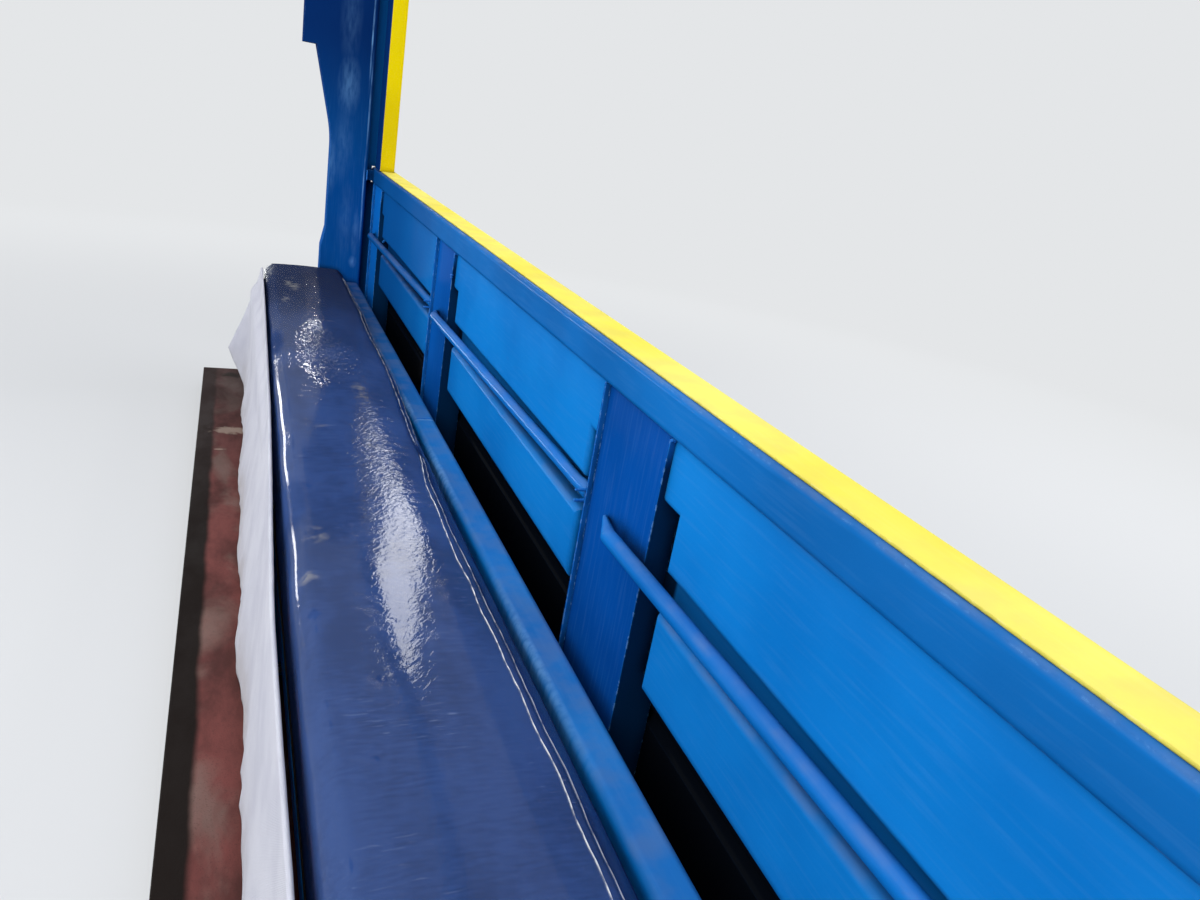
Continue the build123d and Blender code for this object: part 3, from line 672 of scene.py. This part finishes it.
def pad_points():
    """The cushion as rings of its section along Y. Each ring is drawn in near an end by a quarter circle."""
    section = rounded_section(pad_width, pad_height, top_corner, bottom_corner, pad_step)
    length = cushion_high.y - cushion_low.y
    end_turn = np.radians(np.linspace(0, 90, 7))[:-1]
    near = cushion_low.y + end_round * (1 - np.cos(end_turn))
    body = np.linspace(cushion_low.y + end_round, cushion_high.y - end_round, int(length / pad_step))
    y = np.concatenate([near, body, (cushion_low.y + cushion_high.y) - near[::-1]])[:, None]
    from_end = np.minimum(y - cushion_low.y, cushion_high.y - y)
    inset = end_round - np.sqrt(np.clip(end_round ** 2 - np.clip(end_round - from_end, 0, None) ** 2, 0, None))
    side = section[None, :, 0] / (pad_width / 2)
    level = section[None, :, 1] / pad_height
    x = pad_middle + section[None, :, 0] * (1 - 2 * inset / pad_width)
    z = pad_bottom + section[None, :, 1] * (1 - inset / pad_height)
    high = smooth(0.35, 1.0, level)
    # the aisle edge draws in towards the front, and the wall edge towards the rear
    x = x + smooth(-0.1, 0.6, level) * smooth(0.2, -1, side) * eased(aisle_draw, y)
    x = x - high * smooth(0.2, 1, side) * eased(wall_draw, y)
    # crown, hollows of 0.4 mm where it is sat on, and edges that wander by 0.7 mm
    z = z + high * (1 - side ** 2) * crown
    z = z + high * (1 - np.abs(side) ** 3) * 0.4 * MM * uneven(3, 9, x, y, (0.25, 0.6), (0.25, 0.8))
    x = x + high * side * 0.7 * MM * uneven(5, 7, z, y, (0.2, 0.4), (0.15, 0.5))
    return np.stack(np.broadcast_arrays(x, y, z), axis=-1)


def pad_normals(points):
    """Normals of the ring grid: the cross product of the steps along the bench and along the ring, turned so
    that they point up on top."""
    round_step = np.roll(points, -1, axis=1) - np.roll(points, 1, axis=1)
    along_step = np.gradient(points, axis=0)
    normal = np.cross(along_step, round_step)
    normal /= np.linalg.norm(normal, axis=-1, keepdims=True) + 1e-12
    top = points[:, :, 2] > pad_top - 5 * MM
    return normal if normal[top][:, 2].mean() > 0 else -normal


def blown_up(points):
    """The cushion's cover as cloth over its foam. The ring grid starts smaller by the slack, is closed, has its
    underside held, and pressure from inside fills it for some frames. The way that a point went is then eased
    by a hyperbolic tangent, so that it never passes most_way. Where the foam bears the cover flat on top, the
    shape goes nine tenths back to the foam's own."""
    free = smooth(pad_bottom, pad_bottom + 15 * MM, points[..., 2:])
    start = points - pad_normals(points) * cover_slack * free
    vertices, faces = grid_piece(start, wrap=True, closed=True)
    mesh = bpy.data.meshes.new("cover_start")
    mesh.from_pydata(vertices.tolist(), [], outward(vertices, faces))
    cover = bpy.data.objects.new("cover_start", mesh)
    bpy.context.scene.collection.objects.link(cover)
    held = cover.vertex_groups.new(name="held")
    held.add(np.flatnonzero(vertices[:, 2] < pad_bottom + 4 * MM).tolist(), 1.0, "REPLACE")
    cloth = cover.modifiers.new("cover", "CLOTH")
    vinyl_sheet = {"quality": 4, "mass": 0.3, "tension_stiffness": 25, "compression_stiffness": 25,
                   "bending_stiffness": 2, "use_pressure": True, "uniform_pressure_force": 4,
                   "vertex_group_mass": "held"}
    for field, value in vinyl_sheet.items():
        setattr(cloth.settings, field, value)
    cloth.settings.effector_weights.gravity = 0
    cloth.collision_settings.use_collision = False
    cloth.point_cache.frame_start, cloth.point_cache.frame_end = 1, cover_frames
    for frame_number in range(1, cover_frames + 1):
        bpy.context.scene.frame_set(frame_number)
    settled = cover.evaluated_get(bpy.context.evaluated_depsgraph_get()).data
    filled = np.empty(len(vertices) * 3, np.float32)
    settled.vertices.foreach_get("co", filled)
    bpy.context.scene.frame_set(1)
    bpy.data.objects.remove(cover)
    bpy.data.meshes.remove(mesh)
    way = filled.reshape(-1, 3)[:start[..., 0].size].reshape(start.shape) - start
    length = np.linalg.norm(way, axis=-1, keepdims=True) + 1e-9
    blown = start + way * np.tanh(length / most_way) * most_way / length
    borne = 0.9 * smooth(0.9, 0.99, pad_normals(points)[..., 2:])
    return blown + (points - blown) * borne


pad = pad_points()
pad_rows, pad_columns, _ = pad.shape
# columns of the grid that lie on top, in the middle of the bench
on_top = np.flatnonzero(pad[pad_rows // 2, :, 2] > pad_top - 2 * MM)
pad = blown_up(pad)
pad_vertices, pad_faces = grid_piece(pad, wrap=True, closed=True)
cushion = build("bench_cushion", [(pad_vertices, outward(pad_vertices, pad_faces))], vinyl)
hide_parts("cushion")


# Clear film over the cushion: the cushion's own surface, a little way off, with two long loose folds along
# the wall side and a bunched corner at the front.

film_gap = 0.7 * MM
line_height, line_width = 1.7 * MM, 0.8 * MM     # of the sharp line on each side of a fold
fold_height = 0.5 * MM                           # of the film between the two lines
crumple_height = 3.2 * MM                        # where it is bunched
line_reach = 3.2 * MM                            # how far the close columns reach beside a line


def sample(grid, row, column):
    """Read a ring grid between its points, by the share of each of the four around the place."""
    low_row = np.clip(np.floor(row).astype(int), 0, pad_rows - 2)
    low_column = np.floor(column).astype(int)
    a, b = (row - low_row)[..., None], (column - low_column)[..., None]
    c0, c1 = low_column % pad_columns, (low_column + 1) % pad_columns
    near = grid[low_row, c0] * (1 - b) + grid[low_row, c1] * b
    far = grid[low_row + 1, c0] * (1 - b) + grid[low_row + 1, c1] * b
    return near * (1 - a) + far * a


# Middle line and half width of the two loose folds, from their front end back: (y, x, half width)
fold_front = ((1.25, 0.084, 0.001), (1.10, 0.088, 0.004), (0.70, 0.089, 0.006), (0.58, 0.091, 0.006),
              (0.33, 0.087, 0.006), (0.23, 0.089, 0.005), (0.12, 0.089, 0.005), (0.068, 0.086, 0.001))
fold_rear = ((0.045, 0.083, 0.001), (0.015, 0.082, 0.004), (-0.04, 0.081, 0.005), (-0.085, 0.076, 0.005),
             (-0.16, 0.077, 0.006), (-0.21, 0.077, 0.006), (-0.27, 0.074, 0.006), (-0.60, 0.078, 0.007),
             (-0.95, 0.074, 0.006), (-1.22, 0.080, 0.001))


def fold_lines(y):
    """X of the inner and the outer line of the folds at each y, and how much of a fold is there."""
    middle, half, shown = np.full_like(y, 0.085), np.full_like(y, 0.004), np.zeros_like(y)
    for table in (fold_front, fold_rear):
        ys, xs, halves = np.array(table).T
        inside = (y <= ys[0]) & (y >= ys[-1])
        middle = np.where(inside, np.interp(-y, -ys, xs), middle)
        half = np.where(inside, np.interp(-y, -ys, halves), half)
        # it grows over 30 mm from its front end and goes over the last 12 mm
        ends = smooth(0, 0.03, ys[0] - y) * smooth(0, 0.012, y - ys[-1])
        shown = np.where(inside, np.maximum(ends, 0.25), shown)
    wander = uneven(11, 6, y, y, (0.06, 0.3), (0.5, 2.0)) * 0.8 * MM
    return middle + wander - half, middle + wander + half, shown


def film_points():
    """Rows along Y, two to a ring of the cushion, and columns over the top that crowd round the two lines of
    the folds. The film is the cushion's surface plus its normal times a height: the gap, a bell curve along each
    line, a step between the lines, and uneven crumples. It gives the points and how much of a fold each is."""
    row = np.arange(2, pad_rows - 2, 0.5)[:, None]
    y_row = sample(pad, row[:, 0], np.zeros(len(row)))[:, 1][:, None]
    inner, outer, shown = fold_lines(y_row)
    first, last = on_top.min(), on_top.max()
    x_first, x_last = pad[pad_rows // 2, first, 0], pad[pad_rows // 2, last, 0]

    def column_at(x):
        return first + (x - x_first) / (x_last - x_first) * (last - first)

    # the film turns down by nine columns on the aisle side and by eight on the wall side
    start = np.full_like(inner, first - 9.0)
    end = np.full_like(inner, last + 8.0)
    line_inner, line_outer = column_at(inner), column_at(outer)
    spread = line_reach / pad_step
    near = np.linspace(-spread, spread, 9)[None, :]
    middle_share = np.linspace(0, 1, 5)[None, 1:-1]
    gap_start, gap_end = line_inner + spread, np.maximum(line_outer - spread, line_inner + spread)
    columns = np.hstack([
        start + (line_inner - spread - start) * np.linspace(0, 1, 46)[None, :-1],
        line_inner + near,
        gap_start + (gap_end - gap_start) * middle_share,
        np.maximum(line_outer + near, gap_end + (near + spread) * 0.5),
        line_outer + spread + (end - line_outer - spread) * np.linspace(0, 1, 12)[None, 1:],
    ])
    rows = np.broadcast_to(row, columns.shape)
    place, normal = sample(pad, rows, columns), sample(pad_normals(pad), rows, columns)
    width = line_width / pad_step
    ridge = np.exp(-((columns - line_inner) / width) ** 2) + np.exp(-((columns - line_outer) / width) ** 2)
    ridge = np.clip(ridge, 0, 1) * shown
    tented = ((columns > line_inner) & (columns < line_outer)) * shown
    height = film_gap + ridge * line_height + tented * fold_height
    # bunched at the front corner and along the aisle side near it
    x, y = place[..., 0], place[..., 1]
    corner = smooth(1.10, 1.30, y) * smooth(-0.05, -0.085, x)
    side = smooth(-0.082, -0.1, x) * smooth(0.75, 1.2, y) * 0.7
    bunched = np.clip(corner + side, 0, 1) * smooth(skirt_high.z + 4 * MM, skirt_high.z + 9 * MM, place[..., 2])
    crumple = 1 - np.abs(uneven(21, 10, x + 0.7 * place[..., 2], y, (0.012, 0.04), (0.010, 0.045)))
    height = height + bunched * np.clip(crumple, -0.4, 1) * crumple_height + bunched * 2 * MM
    # small crinkles elsewhere
    height = height + 0.25 * MM * uneven(31, 14, x, y, (0.02, 0.08), (0.02, 0.2)) * (1 - bunched)
    fold = np.clip(ridge + bunched * smooth(0.4, 0.95, crumple) * 0.9 + bunched * 0.18, 0, 1)
    return place + normal * height[..., None], fold


film_grid, film_fold = film_points()
film = build("clear_film_cover", [grid_piece(film_grid)], film_plastic)
point_values(film, "fold", film_fold)


# Cloth hung along the aisle side: a narrow hem rolled over its upper edge, then one long drop that swings
# out towards the floor in uneven upright folds, with its front corner lifted and thrown out.

cloth_top = skirt_high.z - 1 * MM
cloth_bottom = skirt_low.z
cloth_thickness = 0.7 * MM
roll = 2.2 * MM


def cushion_side(y, z):
    """X of the cushion's aisle side at each y and height."""
    level = (z - pad_bottom) / pad_height
    return cushion_low.x + smooth(-0.1, 0.6, level) * eased(aisle_draw, y)


def cloth_grid():
    """Rows down the cloth, columns along Y. The drop leans from the top line to the hem line by the power
    1.25 of the way down, and the folds grow with the way down."""
    y = np.linspace(skirt_low.y, skirt_high.y, 560)[None, :]
    way = np.linspace(0, 1, 56)[:, None]
    # the top line rises 11 mm towards the front, and stands 8 mm further off the cushion towards the rear
    top_z = cloth_top + 11 * MM * smooth(0.5, 1.05, y)
    gap = 2 * MM + 8 * MM * smooth(0.35, -0.35, y)
    top_x = cushion_low.x + eased(aisle_draw, y) - gap - 2 * roll
    # the hem stands out 12 mm further towards the rear; its corner is lifted 66 mm and thrown out 34 mm
    lifted = smooth(1.20, skirt_high.y, y) ** 1.6
    hem_x = -0.127 - 12 * MM * smooth(1.1, 0.4, y) - 34 * MM * lifted
    hem_z = cloth_bottom + 66 * MM * lifted + 2 * MM * uneven(41, 6, y, y, (0.2, 0.8), (0.5, 1.5))
    hem_z = np.maximum(hem_z, cloth_bottom - 1 * MM)
    x = top_x + (hem_x - top_x) * way ** 1.25
    z = top_z + (hem_z - top_z) * way
    # it lies outside the board and the cushion
    x = np.minimum(x, np.where(z < board_high.z + 6 * MM, board_low.x - 2.5 * MM, 1.0))
    x = np.minimum(x, cushion_side(y, z) - 3 * MM)
    folds = uneven(43, 8, way, y, (2.0, 6.0), (0.26, 0.9))
    creases = 1 - np.abs(uneven(47, 8, way, y, (0.6, 3.0), (0.05, 0.2)))
    x = x - (np.clip(folds, -1.2, 1.4) + 1.2) * (0.15 + 3.4 * way) * MM - creases * (0.1 + 0.9 * way) * MM
    y_shift = 2.5 * MM * way * uneven(53, 8, way, y, (1.5, 4.0), (0.2, 0.6))
    return x, y + y_shift, z


def skirt_points():
    """The drop with the rolled hem before it: a 14 mm tail behind, a half ellipse over the top, the drop."""
    x, y, z = cloth_grid()
    angle = np.radians(np.linspace(0, 180, 9))[:-1, None]
    roll_x = x[:1] + roll + roll * np.cos(angle)
    roll_z = z[:1] + roll * np.sin(angle) * 1.3
    tail_z = z[:1] - np.linspace(14, 2, 5)[:, None] * MM
    tail_x = np.broadcast_to(x[:1] + 2 * roll, tail_z.shape)
    y_all = np.vstack([np.broadcast_to(y[:1], (len(tail_z) + len(roll_z), y.shape[1])), y])
    return np.stack([np.vstack([tail_x, roll_x, x]), y_all, np.vstack([tail_z, roll_z, z])], axis=-1)


skirt_grid = skirt_points()
skirt = build("hung_cloth", [grid_piece(skirt_grid)], cotton)
# the cloth's own map in metres, along its length and down its width, for the weave
skirt_map = skirt.data.uv_layers.new(name="cut")
steps_down = np.linalg.norm(np.diff(skirt_grid, axis=0), axis=-1)
down = np.vstack([np.zeros((1, skirt_grid.shape[1])), np.cumsum(steps_down, axis=0)])
loop_points = np.zeros(len(skirt.data.loops), np.int32)
skirt.data.loops.foreach_get("vertex_index", loop_points)
map_points = np.stack([skirt_grid[..., 1], down], axis=-1).reshape(-1, 2)[loop_points]
skirt_map.data.foreach_set("uv", map_points.astype(np.float32).ravel())
thicken = skirt.modifiers.new("thickness", "SOLIDIFY")
thicken.thickness = cloth_thickness
thicken.offset = 0
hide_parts("skirt_cloth")


# Welds: a bead is a lumpy tube between two points, round in section and closed to a point at both ends.

weld_pass, ring_step = 4 * MM, 1.2 * MM
first_weld_seed = 60


def bead(start, end, radius, seed):
    """Rings along the line. The radius swells and shrinks with each pass and with a slow uneven field, and
    goes to nothing at both ends by the square root of one less the 12th power of the way from the middle."""
    start, end = np.array(start, float), np.array(end, float)
    length = np.linalg.norm(end - start)
    along = (end - start) / length
    across = np.cross(along, [0.3, 0.5, 0.8])
    across /= np.linalg.norm(across)
    other = np.cross(along, across)
    share = np.linspace(0, 1, max(9, int(length / ring_step)))
    passes = 0.22 * np.sin(2 * np.pi * share * length / weld_pass)
    swell = 1 + passes + 0.12 * uneven(seed, 5, share, share, (0.05, 0.3), (0.2, 0.9))
    ends = np.sqrt(np.clip(1 - (2 * share - 1) ** 12, 0, 1))
    angle = np.linspace(0, 2 * np.pi, 10, endpoint=False)
    size = (radius * swell * ends)[:, None, None]
    ring = np.cos(angle)[None, :, None] * across + np.sin(angle)[None, :, None] * other
    points = start + share[:, None, None] * (end - start) + size * ring
    vertices, faces = grid_piece(points, wrap=True, closed=True)
    return vertices, outward(vertices, faces)


def weld_lines():
    """Start, end and radius of each weld. Most lie 1 mm deep in the metal that they join."""
    lines = []
    for low, high in post_boxes:
        # post's two lips against the sill's underside, and its foot on the floor
        top, foot = high.z - 1 * MM, low.z + 1 * MM
        for y in (low.y, high.y):
            lines.append(((low.x, y, top), (low.x + 16 * MM, y, top), 1.8 * MM))
            lines.append(((low.x, y, foot), (high.x - 4 * MM, y, foot), 2.0 * MM))
    for low, high in rail_boxes:
        # the rail's rear end on the next post's side
        for z in (-6 * MM, 6 * MM):
            y, z = low.y + 1 * MM, (low.z + high.z) / 2 + z
            lines.append(((low.x + 6 * MM, y, z), (low.x + 20 * MM, y, z), 1.8 * MM))
    # pillar to the sill's end
    x, y = pillar_high.x - 1 * MM, wall_front - 1 * MM
    lines.append(((x, y, sill_low.z + 6 * MM), (x, y, sill_high.z - 6 * MM), 2.0 * MM))
    # stray blobs: on the second post's rear lip, and in the groove behind the first rail
    low, _ = post_boxes[1]
    lines.append(((low.x, low.y + 1 * MM, 0.563), (low.x, low.y + 1 * MM, 0.570), 2.2 * MM))
    low, _ = post_boxes[0]
    lines.append(((low.x + 12 * MM, low.y - 2 * MM, 0.477), (low.x + 22 * MM, low.y - 3 * MM, 0.488), 3.0 * MM))
    # ledge joint
    y, z = ledge_low.y, ledge_high.z
    lines.append(((ledge_low.x + 6 * MM, y, z), (ledge_high.x - 6 * MM, y, z), 1.2 * MM))
    return lines


weld_shapes = [bead(*line, seed) for seed, line in enumerate(weld_lines(), first_weld_seed)]
build("weld_beads", weld_shapes, weld_paint)


# Bolts: two through each foot plate, hexagon heads on washers, turned profiles with rounded tops.

leg_count = 5
foot_plate = 4 * MM       # thick
bolt_inset = 9 * MM       # from the plate's end
# radius and height of each ring in millimetres: the washer, then the head
bolt_profile = ((0.0, 0.0), (8.0, 0.0), (8.3, 0.4), (8.3, 1.2), (8.0, 1.6),
                (5.9, 1.6), (5.9, 5.2), (5.2, 6.0), (0.6, 6.4))
head_from = 5


def bolt(x, y, z):
    """A washer and a six-sided head: a turned profile whose radius, on the head, follows a hexagon."""
    radii, heights = np.array(bolt_profile).T * MM
    angle = np.linspace(0, 2 * np.pi, 36, endpoint=False)
    hexagon = np.cos(np.pi / 6) / np.cos((angle % (np.pi / 3)) - np.pi / 6)
    on_head = np.arange(len(radii))[:, None] >= head_from
    size = radii[:, None] * np.where(on_head, hexagon[None, :] * 1.08, 1.0)
    points = np.stack([x + size * np.cos(angle), y + size * np.sin(angle),
                       z + np.broadcast_to(heights[:, None], size.shape)], axis=-1)
    vertices, faces = grid_piece(points[1:], wrap=True, closed=True)
    return vertices, outward(vertices, faces)


bolt_shapes = []
for low, high in leg_boxes:
    half = (high.x - low.x) / 2
    for y in np.linspace(low.y + half, high.y - half, leg_count):
        for side in (-1, 1):
            place = ((low.x + high.x) / 2, y + side * (half - bolt_inset), floor_high.z + foot_plate)
            bolt_shapes.append(bolt(*place))
build("foot_bolts", bolt_shapes, zinc)


# Floor, world and lamps

floor_mesh = bpy.data.meshes.new("studio_floor")
reach = 30.0
floor_mesh.from_pydata([(x * reach, y * reach, 0) for x, y in ((-1, -1), (1, -1), (1, 1), (-1, 1))], [],
                       [(0, 1, 2, 3)])
studio_floor = bpy.data.objects.new("studio_floor", floor_mesh)
bpy.context.scene.collection.objects.link(studio_floor)
studio_floor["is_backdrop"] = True
# The floor takes the object's shadow. It is lit and glows a little near the object, and from 1.4 to 4.6 m away
# it goes over to the background's own colour.
BACKGROUND = "#E4E6E8"
floor_material, tree, shader = new_material("studio_floor", Roughness=0.9, Specular_IOR_Level=0.0,
                                            Emission_Color=BACKGROUND)
distance = add(tree, "length", add(tree, "place"))
lit = add(tree, "mix", add(tree, "step", distance, 1.6, 4.6), "#97989A", "#000000")
glow = add(tree, "step", distance, 1.4, 4.2, 0.52, 1)
wire(tree, shader, {"Base Color": lit, "Emission Strength": glow})
floor_mesh.materials.append(floor_material)

world = bpy.data.worlds.new("studio")
bpy.context.scene.world = world
world.use_nodes = True
sky = world.node_tree
# the background's colour where it is seen, mirrored or looked at through the film, and grey light elsewhere
rays = add(sky, "rays")
seen = add(sky, "MAXIMUM", rays["Is Camera Ray"],
           add(sky, "MAXIMUM", rays["Is Glossy Ray"], rays["Is Transmission Ray"]))
wire(sky, sky.nodes["Background"], {"Color": add(sky, "mix", seen, "#9FA3A8", BACKGROUND), "Strength": 1.0})

# The narrow lamps don't light the studio floor.
floor_apart = bpy.data.collections.new("floor_apart")
floor_apart.objects.link(studio_floor)
floor_apart.collection_objects[0].light_linking.link_state = "EXCLUDE"


def lamp(name, place, aim, width, height, radiance, shape="RECTANGLE", turn=0.0, lights_floor=True):
    """A soft lamp that faces aim, turned round its own axis by turn degrees. Its power follows from its area
    and from how bright its face is."""
    data = bpy.data.lights.new(name, "AREA")
    data.shape = shape
    data.size, data.size_y = width, height
    area = width * height * (math.pi / 4 if shape == "ELLIPSE" else 1)
    data.energy = radiance * math.pi * area
    holder = bpy.data.objects.new(name, data)
    holder.location = place
    facing = (Vector(aim) - Vector(place)).to_track_quat("-Z", "Y").to_matrix()
    holder.rotation_euler = (facing @ Euler((0, 0, math.radians(turn))).to_matrix()).to_euler()
    holder.visible_camera = False
    if not lights_floor:
        holder.light_linking.receiver_collection = floor_apart
    bpy.context.scene.collection.objects.link(holder)


# Broad soft lamps that light the piece
lamp("aisle_lamp", (-2.2, -0.5, 2.1), (0.1, 0.1, 0.4), 2.2, 1.8, 4.8)
lamp("top_lamp", (-0.5, -0.5, 3.6), (0.0, 0.0, 0.4), 2.4, 2.4, 2.5)
lamp("window_lamp", (3.0, 0.4, 2.6), (0.1, 0.0, 0.5), 2.4, 2.0, 4.5)
lamp("rear_lamp", (-1.6, -3.4, 2.6), (0.0, 0.0, 0.6), 2.0, 2.0, 1.6)
# Narrow lamps beyond the front end, whose images in the film are the bench's long streaks and its speckles
lamp("right_streak_lamp", (1.04, 4.4, 2.81), (0.0, -0.1, 0.4), 0.42, 2.2, 17.0, "ELLIPSE", -3.7, False)
lamp("left_streak_lamp", (-2.15, 4.4, 0.34), (-0.1, 0.2, 0.4), 1.6, 0.50, 22.0, lights_floor=False)
lamp("speckle_lamp", (0.42, 5.3, 1.72), (0.0, 0.5, 0.4), 0.18, 0.22, 55.0, lights_floor=False)


# Camera: the photograph's own place, above the rear end of the bench, looking forward

camera_place = (-0.168, -1.1085, 0.836)
camera_turn = -24.955      # from +Y towards +X, degrees
camera_pitch = -19.879
camera_roll = 10.387
focal_pixels = 866         # on a frame 1200 wide
frame_width = 1200

camera_data = bpy.data.cameras.new("camera")
camera_data.sensor_width = 36.0
camera_data.lens = camera_data.sensor_width * focal_pixels / frame_width
camera = bpy.data.objects.new("camera", camera_data)
tilt = Euler((math.radians(90 + camera_pitch), 0, math.radians(camera_turn)), "XYZ").to_matrix()
camera.rotation_mode = "QUATERNION"
camera.rotation_quaternion = (tilt @ Euler((0, 0, math.radians(camera_roll))).to_matrix()).to_quaternion()
camera.location = camera_place
camera_data.clip_start = 0.01
bpy.context.scene.collection.objects.link(camera)
bpy.context.scene.camera = camera

bpy.context.scene.view_settings.view_transform = "Standard"

low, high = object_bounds()
